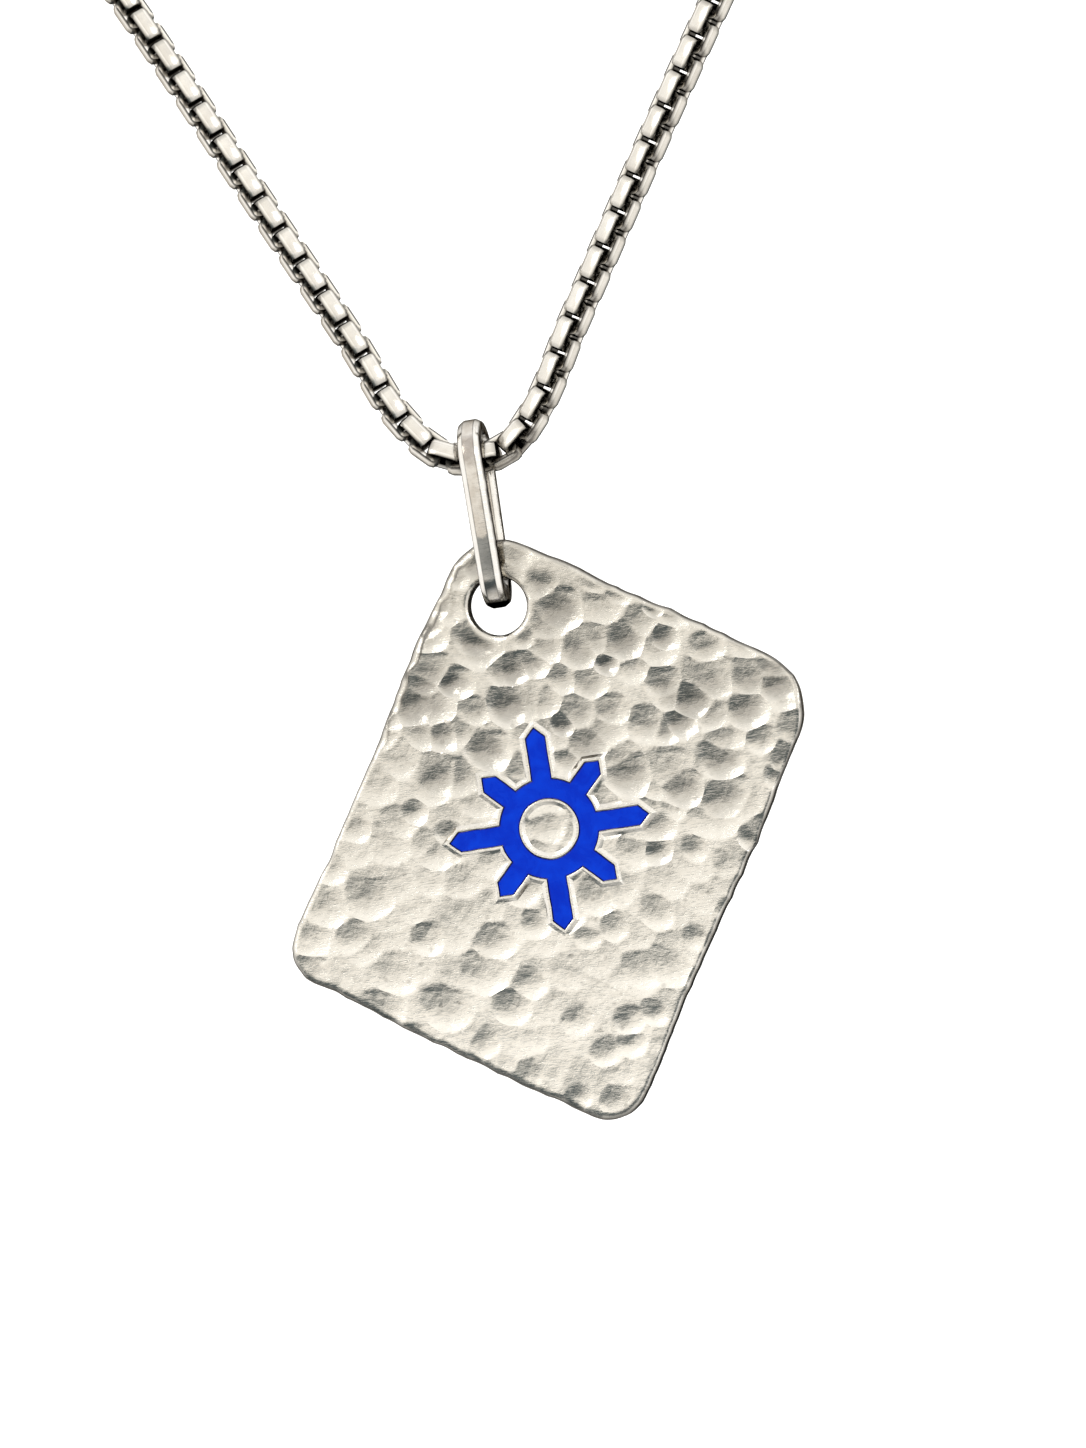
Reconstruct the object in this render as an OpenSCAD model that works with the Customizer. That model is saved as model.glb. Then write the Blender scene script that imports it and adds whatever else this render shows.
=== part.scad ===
// A hammered dog tag with an enamel sun, hung by an oval bail on a rounded box chain.
// Millimetres, +Z up, the front towards -Y. The origin is the middle of the clasp, at the nape.

/* [Tag] */
// Width of the tag
tag_w = 27.4; // [26:0.1:32]
// Height of the tag
tag_h = 34.8; // [33:0.1:40]
// Thickness of the tag
tag_t = 1.7; // [1.4:0.1:1.8]
// Turn of the tag, clockwise from upright, in degrees
tag_turn = 32.7; // [0:0.1:45]
// Radius of the upper left corner
corner_tl = 4; // [2:0.1:5]
// Radius of the upper right corner
corner_tr = 4.5; // [2:0.1:6]
// Radius of the lower right corner
corner_br = 3; // [2:0.1:6]
// Radius of the lower left corner
corner_bl = 3.2; // [2:0.1:6]
// Radius of the hanging hole
hole_r = 2.05; // [2.05:0.05:2.3]
// Hanging hole's centre from the left side
hole_from_left = 4.05; // [4:0.05:6]
// Hanging hole's centre from the top side
hole_from_top = 4.65; // [4.2:0.05:6]
// Chamfer round both mouths of the hanging hole
hole_chamfer = 0.25; // [0:0.05:0.4]

/* [Enamel sun] */
// Reach of the four long rays
long_ray = 7.1; // [6:0.1:8]
// Reach of the four short rays
short_ray = 5.9; // [5:0.1:8]
// Outer radius of the ring
ring_r = 3.5; // [3:0.1:4]
// Width of every stroke
stroke = 1.35; // [1:0.05:1.5]
// Depth of the pocket that holds the enamel
pocket_depth = 0.5; // [0.3:0.05:0.7]
// Gap round and under the enamel
enamel_gap = 0.05; // [0.03:0.01:0.08]

/* [Bail] */
// Width of the band, from side to side
bail_w = 1.6; // [1.2:0.1:1.8]
// Thickness of the band at the top and along the legs
bail_t = 1.2; // [0.9:0.1:1.3]
// Extra thickness of the band at the bottom
bail_extra = 0.4; // [0:0.05:0.5]
// Inner radius of the top bend
bail_top_r = 1.55; // [1.5:0.05:2]
// Inner radius of the bottom bend
bail_bottom_r = 1.05; // [1:0.05:1.2]
// Inner length, from the top bend to the bottom bend
bail_inner_l = 10.56; // [10:0.02:14]
// Width of the bevel along both outer edges
bevel_w = 0.4; // [0.1:0.05:0.5]
// Depth of the same bevel
bevel_h = 0.25; // [0.1:0.05:0.4]

/* [Chain] */
// Outer width of the chain
chain_d = 2.2; // [1.8:0.1:2.2]
// Clear height between the chain and the top bend of the bail
chain_play = 0.26; // [0.24:0.01:0.4]

/* [Clasp] */
// Length of the clasp
clasp_l = 11; // [10:0.5:16]
// Diameter of the clasp
clasp_d = 3.6; // [3.4:0.1:5]
// Gap between the chain's ends and the clasp
clasp_gap = 0.2; // [0.1:0.05:0.3]

/* [Hidden] */
$fn = 96;
// How far a cutter runs past the face that it cuts
over = 1;

// Where the chain passes through the bail: the lowest point of its centre line
hang_x = -7;
hang_y = -108;
hang_z = -152;

// The chain's route, from the clasp's left end down to the bail and up to the clasp's right end.
// The strands stay in one upright plane in front, then curve back round the neck.
route = [
    [-4.5, 0, 0],
    [-8, 0, 0],
    [-16, -1, -1],
    [-31, -7, -4],
    [-46, -20, -12],
    [-57, -38, -24],
    [-61, -57, -39],
    [-58, -75, -55],
    [-51, -90, -71],
    [-42, -100, -87],
    [-34, -106, -103],
    [-26, hang_y, -118],
    [-19, hang_y, -133],
    [-14.3, hang_y, -143],
    [-11.5, hang_y, -149.1],
    [-9.7, hang_y, -151.2],
    [hang_x, hang_y, hang_z],
    [-4.6, hang_y, -151.4],
    [-2.8, hang_y, -149.7],
    [0.9, hang_y, -144],
    [8, hang_y, -133],
    [18, hang_y, -118],
    [28, -106, -103],
    [38, -100, -87],
    [49, -90, -71],
    [57, -75, -55],
    [61, -57, -39],
    [57, -38, -24],
    [46, -20, -12],
    [31, -7, -4],
    [16, -1, -1],
    [8, 0, 0],
    [4.5, 0, 0]
];
// Spans under short_span make the bend in the bail, and each is cut into bend_steps
ring_step = 7;
short_span = 3;
bend_steps = 3;
tube_sides = 8;

// Facets round each bend of the bail
bend_sides = 32;

// Heights inside the bail, from the chain's centre line
bail_inner_top = chain_d / 2 + chain_play;
bail_top_z = bail_inner_top - bail_top_r;
bail_bottom_z = bail_inner_top - bail_inner_l + bail_bottom_r;

// The hole's upper wall stands this far above the inner face of the bottom bend. The edges of
// its mouths are what rests there, because the plate is thick for so tight a bend.
seat_gap = 0.59;
hole_z = bail_bottom_z - bail_bottom_r + seat_gap - hole_r;

// Place of the hanging hole on the upright tag. The sun is at the tag's centre.
hole_at = [hole_from_left - tag_w / 2, tag_h / 2 - hole_from_top];

// Rays of the sun, long and short by turns
ray_count = 8;

// Corners of the upright tag, clockwise from the upper left: side, level and radius
corners = [
    [-1, 1, corner_tl],
    [1, 1, corner_tr],
    [1, -1, corner_br],
    [-1, -1, corner_bl]
];

// The tag's outline is a plain oblong whose corners are cut back to arcs
module corner_cut(c) {
    mirror([c[0] < 0 ? 1 : 0, 0])
        mirror([0, c[1] < 0 ? 1 : 0])
            translate([tag_w / 2 - c[2], tag_h / 2 - c[2]])
                difference() {
                    square(c[2] + over);
                    circle(r = c[2]);
                }
}

module tag_outline() {
    difference() {
        square([tag_w, tag_h], center = true);
        for (c = corners) corner_cut(c);
    }
}

// A ray is a bar with a pointed end. It starts inside the ring's stroke.
module ray(reach, grow) {
    half = stroke / 2 + grow;
    tip = reach + grow * sqrt(2);
    polygon([
        [-half, ring_r - stroke / 2],
        [half, ring_r - stroke / 2],
        [half, tip - half],
        [0, tip],
        [-half, tip - half]
    ]);
}

module sun(grow) {
    difference() {
        circle(r = ring_r + grow);
        circle(r = ring_r - stroke - grow);
    }
    for (i = [0:ray_count - 1])
        rotate(360 * i / ray_count) ray(i % 2 == 0 ? long_ray : short_ray, grow);
}

// Stands a flat drawing up at its place: the hole under the bail, the sun's long rays plumb
module hang_tag() {
    translate([hang_x, hang_y, hang_z + hole_z])
        rotate([0, tag_turn, 0])
            rotate([90, 0, 0])
                translate([-hole_at[0], -hole_at[1], 0]) children();
}

module hole_cutter() {
    wide = hole_r + hole_chamfer + over;
    translate([0, 0, -tag_t]) cylinder(r = hole_r, h = 2 * tag_t);
    for (s = [-1, 1])
        mirror([0, 0, s < 0 ? 1 : 0])
            translate([0, 0, tag_t / 2 - hole_chamfer])
                cylinder(r1 = hole_r, r2 = wide, h = wide - hole_r);
}

module tag() {
    color("silver")
        hang_tag()
            difference() {
                translate([0, 0, -tag_t / 2]) linear_extrude(tag_t) tag_outline();
                translate(hole_at) hole_cutter();
                translate([0, 0, tag_t / 2 - pocket_depth])
                    linear_extrude(pocket_depth + over) rotate(tag_turn) sun(enamel_gap);
            }
}

module enamel() {
    color("mediumblue")
        hang_tag()
            translate([0, 0, tag_t / 2 - pocket_depth + enamel_gap])
                linear_extrude(pocket_depth - enamel_gap) rotate(tag_turn) sun(0);
}

// A disc across the bail, with both of its edges bevelled
module bevelled_disc(r, z) {
    half = bail_w / 2;
    translate([0, 0, z])
        rotate([0, 90, 0])
            rotate_extrude($fn = bend_sides)
                polygon([
                    [0, -half],
                    [r - bevel_h, -half],
                    [r, bevel_w - half],
                    [r, half - bevel_w],
                    [r - bevel_h, half],
                    [0, half]
                ]);
}

module round_cut(r, z) {
    translate([0, 0, z])
        rotate([0, 90, 0]) cylinder(r = r, h = bail_w + over, center = true, $fn = bend_sides);
}

// The legs are the straight lines that touch both bends, so they lean in towards the bottom
module bail() {
    color("silver")
        translate([hang_x, hang_y, hang_z])
            difference() {
                hull() {
                    bevelled_disc(bail_top_r + bail_t, bail_top_z);
                    bevelled_disc(bail_bottom_r + bail_t, bail_bottom_z - bail_extra);
                }
                hull() {
                    round_cut(bail_top_r, bail_top_z);
                    round_cut(bail_bottom_r, bail_bottom_z);
                }
            }
}

// A smooth curve through the route's points. The slope at a point blends the directions of the
// two spans that meet there, and the shorter span counts for more.
function unit(v) = v / norm(v);
function slope(i) =
    let (
        last = len(route) - 1,
        back = i == 0 ? route[1] - route[0] : route[i] - route[i - 1],
        ahead = i == last ? back : route[i + 1] - route[i]
    )
    (norm(back) * unit(ahead) + norm(ahead) * unit(back)) / (norm(back) + norm(ahead));
function along(i, s) =
    let (span = norm(route[i + 1] - route[i]))
    (2 * pow(s, 3) - 3 * pow(s, 2) + 1) * route[i]
        + (pow(s, 3) - 2 * pow(s, 2) + s) * span * slope(i)
        + (3 * pow(s, 2) - 2 * pow(s, 3)) * route[i + 1]
        + (pow(s, 3) - pow(s, 2)) * span * slope(i + 1);
function steps(i) =
    let (span = norm(route[i + 1] - route[i]))
    span < short_span ? bend_steps : max(1, round(span / ring_step));
centre_line = [
    for (i = [0:len(route) - 2]) for (k = [0:steps(i) - 1]) along(i, k / steps(i)),
    route[len(route) - 1]
];

// Rings of points round the centre line, each square to it, with one axis kept level with Y
function heading(line, i) = unit(line[min(i + 1, len(line) - 1)] - line[max(i - 1, 0)]);
function ring(line, i) =
    let (
        ahead = heading(line, i),
        side = unit(cross(ahead, [0, 1, 0])),
        front = cross(ahead, side)
    )
    [
        for (k = [0:tube_sides - 1])
            let (turn = 360 * (k + 0.5) / tube_sides)
            line[i] + chain_d / 2 * (cos(turn) * side + sin(turn) * front)
    ];

module tube(line) {
    count = len(line);
    points = [for (i = [0:count - 1]) each ring(line, i)];
    walls = [
        for (i = [0:count - 2]) for (k = [0:tube_sides - 1])
            let (next = (k + 1) % tube_sides, low = i * tube_sides, high = low + tube_sides)
            [low + k, high + k, high + next, low + next]
    ];
    first = [for (k = [0:tube_sides - 1]) k];
    last = [for (k = [tube_sides - 1:-1:0]) (count - 1) * tube_sides + k];
    polyhedron(points = points, faces = concat([first], walls, [last]), convexity = 4);
}

module chain() {
    color("gainsboro") tube(centre_line);
}

// A plain barrel with rounded ends and a blind hole in each, which takes an end of the chain
module clasp() {
    r = clasp_d / 2;
    round_r = 0.8;
    mouth_r = chain_d / 2 + clasp_gap;
    mouth_depth = clasp_l / 2 - route[len(route) - 1][0] + clasp_gap;
    color("silver")
        rotate([0, 90, 0])
            difference() {
                rotate_extrude() {
                    translate([0, -clasp_l / 2]) square([r - round_r, clasp_l]);
                    translate([0, round_r - clasp_l / 2]) square([r, clasp_l - 2 * round_r]);
                    for (s = [-1, 1])
                        translate([r - round_r, s * (clasp_l / 2 - round_r)]) circle(r = round_r);
                }
                for (s = [-1, 1])
                    translate([0, 0, s * clasp_l / 2])
                        cylinder(r = mouth_r, h = 2 * mouth_depth, center = true);
            }
}

tag();
enamel();
bail();
chain();
clasp();
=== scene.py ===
"""A hammered silver dog tag with a blue enamel sun, on a bevelled bail and a rounded box chain."""

import math

import bpy
import numpy as np
from bpy.props import FloatProperty, FloatVectorProperty, IntProperty, PointerProperty
from mathutils import Matrix, Vector, noise
from mathutils.geometry import delaunay_2d_cdt
from mathutils.kdtree import KDTree


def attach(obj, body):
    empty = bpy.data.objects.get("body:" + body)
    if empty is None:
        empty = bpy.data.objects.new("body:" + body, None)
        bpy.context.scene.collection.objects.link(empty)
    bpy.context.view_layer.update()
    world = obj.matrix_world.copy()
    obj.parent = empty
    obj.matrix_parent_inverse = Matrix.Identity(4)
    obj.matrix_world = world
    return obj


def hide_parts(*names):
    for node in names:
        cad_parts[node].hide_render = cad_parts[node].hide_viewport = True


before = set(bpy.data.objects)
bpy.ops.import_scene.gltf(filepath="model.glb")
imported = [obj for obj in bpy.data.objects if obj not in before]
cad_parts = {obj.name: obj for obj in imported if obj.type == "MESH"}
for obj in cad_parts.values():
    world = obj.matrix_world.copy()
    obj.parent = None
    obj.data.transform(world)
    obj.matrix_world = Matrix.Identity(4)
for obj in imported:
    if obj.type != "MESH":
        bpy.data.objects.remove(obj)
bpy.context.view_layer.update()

bl_info = {
    "name": "Hammered Dog Tag Pendant",
    "version": (1, 0, 0),
    "blender": (4, 5, 0),
    "location": "View3D > Sidebar > Pendant",
    "description": "Builds a hammered silver tag with an enamel sun, its bail and its box chain",
    "category": "Object",
}

MM = 0.001

# The lowest point of the chain's centre line, where the bail hangs
HANG = Vector((-0.007, -0.108, -0.152))
HOLE = Vector((-0.007, -0.108, -0.16266))

# The tag's drawing, in millimetres from its centre: right, up and out of the front
TAG_W, TAG_H, TAG_T = 27.4, 34.8, 1.7
TAG_TURN = math.radians(32.7)
HOLE_AT = np.array([-9.65, 12.75])
HOLE_R = 2.05
# The rounding of the hole's edges, the points round it, and the widest rounding of the rim
HOLE_RIM, HOLE_POINTS, WIDEST_RIM = 0.42, 90, 0.7
CORNER_RADII = {"tl": 4.0, "tr": 4.5, "br": 3.0, "bl": 3.2}

# How far the hammered outline strays from the plain oblong: right, up and outwards
EDGE_WANDER = [
    (-13.7, -13, 0.0), (-13.7, -9, -0.18), (-13.7, 0, -0.16), (-13.7, 7, 0.27), (-13.7, 12, 0.05),
    (-10, 17.4, 0.0), (-6, 17.4, 0.08), (-2, 17.4, -0.1), (2, 17.4, 0.1), (6, 17.4, 0.0),
    (10, 17.4, -0.1), (13.7, 12, -0.4), (13.7, 5, 0.0), (13.7, -2, -0.2), (13.7, -8, -0.2),
    (13.7, -13, 0.0), (12.8, -16.5, -0.1), (9, -17.4, -0.2), (5, -17.4, -0.1), (1, -17.4, -0.2),
    (-3, -17.4, -0.25), (-10, -17.4, -0.6), (-12.8, -16.5, -0.2),
]

# The wander is blurred over this length to each side
WANDER_BLUR = 1.6

# The hammer marks lie level in the picture, and grow shallower from this level down
LEAN = math.radians(23.9)
FADE_TOP, FADE_RUN = 10.0, 18.0
STEEP_FOOT, STEEP_REACH = 0.5, 0.7
# How far a mark strays from its place on the grid, how its depth and its turn vary, and how far
# it reaches, as parts of the grid's steps
STRAY_ACROSS, STRAY_UP = 0.46, 0.36
DEPTH_SPREAD, TURN_SPREAD = (0.75, 1.2), (-0.4, 0.25)
REACH_ACROSS, REACH_UP = 0.60, 0.62
# The loose grid of marks covers this span, and marks this far off the tag are left out
GRID_SPAN, OFF_EDGE = 46, 2
# The surface starts this far down, goes no deeper than this and stays under the plain face
SURFACE_DROP, DEEPEST, SHALLOWEST = 0.04, 0.38, 0.004
# A strip along the top, right of the hole, was hardly hammered: its lower edge at the left, the
# edge's slope, the run in which it begins, and how plain it is
PLAIN_FOOT, PLAIN_SLOPE, PLAIN_RUN, PLAINNESS = 15.3, 0.14, 1.5, 0.85
# How many points are worked on at a time
DENT_BATCH, LOOP_BATCH = 4000, 8000

# The sun's drawing, in millimetres
RAYS = 8
LONG_RAY, SHORT_RAY = 7.1, 5.9
RING_R, STROKE = 3.5, 1.35
POCKET, ENAMEL_GAP = 0.5, 0.05
# Points along a ray's side, its tip's slope and the arc to the next ray, and round the island
RAY_STEPS, TIP_STEPS, ARC_STEPS, ISLAND_POINTS = 14, 5, 9, 76

# Painted shade on the rings that round an edge over, from the wall to the face, which draws a dark
# outline: all round the tag, more along its foot, and less in the hole
EDGE_SHADE = (0.85, 0.85, 0.70, 0.15, 0.0)
FOOT_SHADE = (0.85, 0.85, 0.80, 0.45, 0.0)
HOLE_SHADE = (0.85, 0.80, 0.30, 0.0, 0.0)
EDGE_STEPS = len(EDGE_SHADE)

# The chain's route, in millimetres, from the clasp's left end round to its right end
ROUTE = [
    (-4.5, 0, 0), (-8, 0, 0), (-16, -1, -1), (-31, -7, -4), (-46, -20, -12), (-57, -38, -24),
    (-61, -57, -39), (-58, -75, -55), (-51, -90, -71), (-42, -100, -87), (-34, -106, -103),
    (-26, -108, -118), (-19, -108, -133), (-14.3, -108, -143), (-11.5, -108, -149.1),
    (-9.7, -108, -151.2), (-7, -108, -152), (-4.6, -108, -151.4), (-2.8, -108, -149.7),
    (0.9, -108, -144), (8, -108, -133), (18, -108, -118), (28, -106, -103), (38, -100, -87),
    (49, -90, -71), (57, -75, -55), (61, -57, -39), (57, -38, -24), (46, -20, -12),
    (31, -7, -4), (16, -1, -1), (8, 0, 0), (4.5, 0, 0),
]

# How far the links of the left and right strands hang outside the chain's line, how far the
# widest ones are drawn in, and how far the lowest ones hang down
STRAND_SHIFT = (0.05 * MM, 0.27 * MM)
WIDEST_TUCK = 0.21 * MM
LOW_DROP, LOW_REACH = 0.12 * MM, 4.5 * MM

# A link's painted light in its attribute: its strip's thin sides, which are painted dark as shade
# as its edges and inside are, then the creases, painted bright as highlights, and the dull flats
# between them
SIDE, CREASE_HIGHLIGHT, DULL, DARK = 0.0, 0.3, 0.6, 1.0
# A link's rounding at its ends, how far its creases lie from its middle, as a part of the strip's
# width, and how far the strip's edges lie below its middle
LINK_BEVEL, LINK_CREASE, LINK_DROP = 0.48 * MM, 0.28, 0.10 * MM
# Towards a link's ends the painted shade is darker still: from where, as a part of its length, and
# how dark
LINK_END_SHADE = ((0.41, 0.80), (0.47, 0.95))

# How far the silver reaches past the sun's drawing before the hammer marks begin
BORDER_FOOT = 0.46
# The raised border round the enamel, then the pocket's wall: outwards, and up from the face
BORDER = [(0.27, -0.03), (0.21, 0.0), (0.09, 0.0), (0.06, -0.012), (ENAMEL_GAP, -0.04),
          (ENAMEL_GAP, -POCKET)]

# The bail: its bends' middles below the chain's line, its bevel's width and its facets round
BAIL_TOP, BAIL_FOOT = 0.19 * MM, 8.15 * MM
BEVEL = 0.4
BAIL_SIDES = 96
# Bands of painted shade on the bail's front: the levels where each starts, is full, begins to clear
# and is gone, its strength and its colour
BAIL_SHADE_BANDS = (
    (-150.6, -150.9, -152.2, -153.0, 0.55, (0.26, 0.22, 0.20, 1)),
    (-157.5, -157.8, -159.8, -162.2, 0.8, (0.20, 0.215, 0.22, 1)),
)

# The clasp's bores
MOUTH_R, MOUTH_DEPTH = 1.3 * MM, 1.2 * MM
# The groove where its halves meet: its edges from its middle, in millimetres, and its depth
SEAM_CUTS, SEAM_DEPTH = (-0.12, -0.05, 0.05, 0.12), 0.12 * MM

# The picture: its middle, from the right and up, and its height
VIEW_X, VIEW_Z, VIEW_TALL = -5.2 * MM, -171.3 * MM, 101.4 * MM
SENSOR = 36

# The pale sheet, in metres: its level, its width and depth, how far it stands up at the back,
# and the radius of the curve between the two
SHEET_LEVEL, SHEET_WIDTH, SHEET_DEPTH, SHEET_MIDDLE = -0.262, 7, 5.2, 0.2
SHEET_TALL, SHEET_CURVE = 3.2, 0.9

# The lamps: name, place, size, part of the key light's power and colour, and what they shine at
LAMPS = (
    ("soft_box_left", (-0.55, -0.9, 0.35), 0.35, 1.0, (1.0, 0.97, 0.92)),
    ("soft_box_right", (0.75, -0.7, 0.1), 0.25, 0.5, (1.0, 0.98, 0.95)),
)
LAMP_AIM = (0, -0.108, -0.17)

# The light's colours by height, from straight down at -1 to straight up at 1
SKY_AHEAD = (
    (-0.90, (0.80, 0.79, 0.76)), (-0.74, (0.45, 0.45, 0.44)), (-0.60, (0.085, 0.10, 0.105)),
    (-0.28, (0.11, 0.13, 0.133)), (-0.16, (0.28, 0.29, 0.28)), (-0.09, (0.93, 0.89, 0.82)),
    (0.08, (1.02, 0.99, 0.93)), (0.40, (1.10, 1.08, 1.03)), (1.00, (1.05, 1.04, 1.02)),
)
SKY_BEHIND = (
    (-1.00, (0.70, 0.69, 0.67)), (-0.94, (0.20, 0.19, 0.18)), (-0.83, (0.22, 0.21, 0.20)),
    (-0.72, (0.86, 0.84, 0.80)), (-0.50, (1.00, 0.98, 0.95)), (1.00, (1.05, 1.04, 1.02)),
)


# ---- Sizes and colours ----


def length_setting(name, description, default, least, most):
    """A length, from values in millimetres."""
    return FloatProperty(name=name, description=description, default=default * MM,
                         min=least * MM, max=most * MM, unit="LENGTH", precision=5)


def colour_setting(name, description, default):
    return FloatVectorProperty(name=name, description=description, default=default,
                               subtype="COLOR", size=3, min=0, max=1)


def angle_setting(name, description, degrees):
    return FloatProperty(name=name, description=description, default=math.radians(degrees),
                         subtype="ANGLE")


class PENDANT_PG_tag(bpy.types.PropertyGroup):
    dent_width: length_setting(
        "Dent width", "Usual distance between two hammer marks, across", 2.65, 1, 5)
    dent_height: length_setting(
        "Dent height", "Usual distance between two hammer marks, up and down", 2.10, 1, 5)
    dent_depth: length_setting(
        "Dent depth", "Depth of a usual hammer mark on the front", 0.24, 0, 0.35)
    edge_radius: length_setting("Edge radius", "Rounding of the tag's rim", 0.36, 0.1, 0.5)
    grain: length_setting(
        "Mesh grain", "Distance between the points of the front's mesh", 0.16, 0.12, 1)
    seed: IntProperty(
        name="Seed", description="Draws another set of hammer marks", default=4, min=0)
    silver: colour_setting("Silver", "Colour of the polished metal", (0.95, 0.92, 0.86))


class PENDANT_PG_enamel(bpy.types.PropertyGroup):
    sunk: length_setting(
        "Sunk", "How far the enamel's surface lies below its silver border", 0.04, 0, 0.2)
    blue: colour_setting("Blue", "Colour of the enamel", (0.0, 0.034, 0.50))


class PENDANT_PG_bail(bpy.types.PropertyGroup):
    width: length_setting("Width", "Width of the band, from side to side", 1.6, 1, 1.8)
    soft_edge: length_setting("Soft edge", "Rounding of the band's creases", 0.07, 0.01, 0.2)
    silver: colour_setting("Silver", "Colour of the bail's metal", (0.95, 0.93, 0.89))


class PENDANT_PG_chain(bpy.types.PropertyGroup):
    width: length_setting(
        "Width", "Width of the chain across two opposite plates", 2.2, 1.8, 2.2)
    link_length: length_setting("Link length", "Length of one link", 2.50, 2, 2.7)
    plate: length_setting(
        "Plate width", "Width of the strip that a link is made of", 1.20, 1, 1.6)
    wall: length_setting("Wall", "Thickness of that strip", 0.40, 0.2, 0.5)
    pitch: length_setting("Pitch", "Distance from one link to the next", 1.332, 1.2, 2)
    roll: angle_setting("Roll", "Turn of the links about the chain's own line", 26)
    # This colour is painted along the links' creases as a highlight
    silver: colour_setting("Silver", "Colour of the links' polished edges", (0.95, 0.93, 0.90))


class PENDANT_PG_clasp(bpy.types.PropertyGroup):
    length: length_setting("Length", "Length of the barrel", 11, 8, 11)
    diameter: length_setting("Diameter", "Diameter of the barrel", 3.58, 3, 3.6)
    silver: colour_setting("Silver", "Colour of the barrel's metal", (0.90, 0.88, 0.84))


class PENDANT_PG_stage(bpy.types.PropertyGroup):
    camera_turn: angle_setting("Camera turn", "How far round to the right the camera stands", 10)
    camera_roll: angle_setting("Camera roll", "How far the camera leans", 8.8)
    camera_distance: FloatProperty(
        name="Camera distance", description="Distance from the camera to the tag",
        default=480 * MM, min=100 * MM, unit="LENGTH")
    sky: FloatProperty(
        name="Soft light", description="Strength of the soft light all round",
        default=1.0, min=0, max=5)
    key: FloatProperty(
        name="Key light", description="Power of the soft box", default=1.6, min=0, subtype="POWER")


# ---- Helpers for meshes ----


def deselect():
    """Leaves edit mode and deselects everything, the CAD nodes among them."""
    if bpy.context.mode != "OBJECT":
        bpy.ops.object.mode_set(mode="OBJECT")
    bpy.ops.object.select_all(action="DESELECT")


def make_active(obj):
    deselect()
    obj.select_set(True)
    bpy.context.view_layer.objects.active = obj


def mesh_object(name, points, faces):
    """A new mesh object from points in metres."""
    mesh = bpy.data.meshes.new(name)
    mesh.from_pydata([tuple(p) for p in points], [], [tuple(f) for f in faces])
    mesh.validate()
    obj = bpy.data.objects.new(name, mesh)
    bpy.context.scene.collection.objects.link(obj)
    return obj


def pick(obj, faces=None, edges=None, verts=None):
    """Selects what the test accepts, and leaves obj in edit mode."""
    make_active(obj)
    mesh = obj.data
    for kind, test in (("VERT", verts), ("EDGE", edges), ("FACE", faces)):
        if test is None:
            continue
        bpy.ops.object.mode_set(mode="EDIT")
        bpy.ops.mesh.select_mode(type=kind)
        bpy.ops.mesh.select_all(action="DESELECT")
        bpy.ops.object.mode_set(mode="OBJECT")
        items = {"VERT": mesh.vertices, "EDGE": mesh.edges, "FACE": mesh.polygons}[kind]
        for item in items:
            item.select = bool(test(item))
    bpy.ops.object.mode_set(mode="EDIT")


def close_normals(obj, merge=1e-7):
    """Merges doubled points and turns every face outwards."""
    make_active(obj)
    bpy.ops.object.mode_set(mode="EDIT")
    bpy.ops.mesh.select_all(action="SELECT")
    bpy.ops.mesh.remove_doubles(threshold=merge)
    bpy.ops.mesh.normals_make_consistent(inside=False)
    bpy.ops.object.mode_set(mode="OBJECT")


def dress(obj, material, body, node, angle=30):
    """Places the piece in its mesh, shades it and ties it to the frame."""
    make_active(obj)
    bpy.ops.object.transform_apply(location=True, rotation=True, scale=True)
    bpy.ops.object.shade_smooth_by_angle(angle=math.radians(angle))
    obj.data.materials.clear()
    obj.data.materials.append(material)
    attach(obj, body)
    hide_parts(node)
    deselect()
    return obj


def smooth(x):
    x = np.clip(x, 0, 1)
    return x * x * (3 - 2 * x)


def wobble(points, size, seed=0.0):
    """Soft noise from about -1 to 1 at each point, with features of the given size."""
    return np.array([noise.noise((x / size, y / size, seed)) for x, y in points])


class Wave:
    """A wobble of a given height."""

    def __init__(self, height, size, seed=0.0):
        self.height, self.size, self.seed = height, size, seed

    def at(self, points):
        return self.height * wobble(points, self.size, self.seed)


# Waves of the hammered outline, of the sun's hand-cut drawing, right and up, of the hammered
# surface and of the enamel, in millimetres
SCALLOPS, OUTLINE_FINE = Wave(0.17, 1.9, 7.0), Wave(0.012, 0.5, 3.0)
STRAY = (Wave(0.035, 1.1, 11.0), Wave(0.035, 1.1, 23.0))
STRAY_FINE = (Wave(0.012, 0.35, 31.0), Wave(0.012, 0.35, 47.0))
SURFACE_FINE, SURFACE_BROAD = Wave(0.014, 0.6, 5.0), Wave(0.055, 3.3, 9.0)
ENAMEL_SWELL = Wave(0.006, 0.9, 2.0)
# Waves along the rim: of its radius, its facets, the painted shade in its crease and its patches of
# painted shade
RIM_RADIUS, RIM_FACETS = Wave(0.25, 4.0), Wave(1.6, 1.3, 21.0)
RIM_CREASE, RIM_PATCHES = Wave(1.0, 2.3, 33.0), Wave(3.2, 1.7, 15.0)


def add_attribute(obj, name, values, domain="POINT"):
    layer = obj.data.attributes.new(name, "FLOAT", domain)
    layer.data.foreach_set("value", np.asarray(values, dtype=np.float32))


# ---- The tag's drawing ----


def on_tag(points, level):
    """Places flat points of the tag's drawing, in millimetres, at a level out of its middle."""
    p = points[:, 0] - HOLE_AT[0]
    q = points[:, 1] - HOLE_AT[1]
    c, s = math.cos(TAG_TURN), math.sin(TAG_TURN)
    level = np.broadcast_to(level, p.shape)
    x = HOLE.x + MM * (p * c + q * s)
    y = HOLE.y - MM * level
    z = HOLE.z + MM * (q * c - p * s)
    return np.stack([x, y, z], axis=1)


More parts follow.
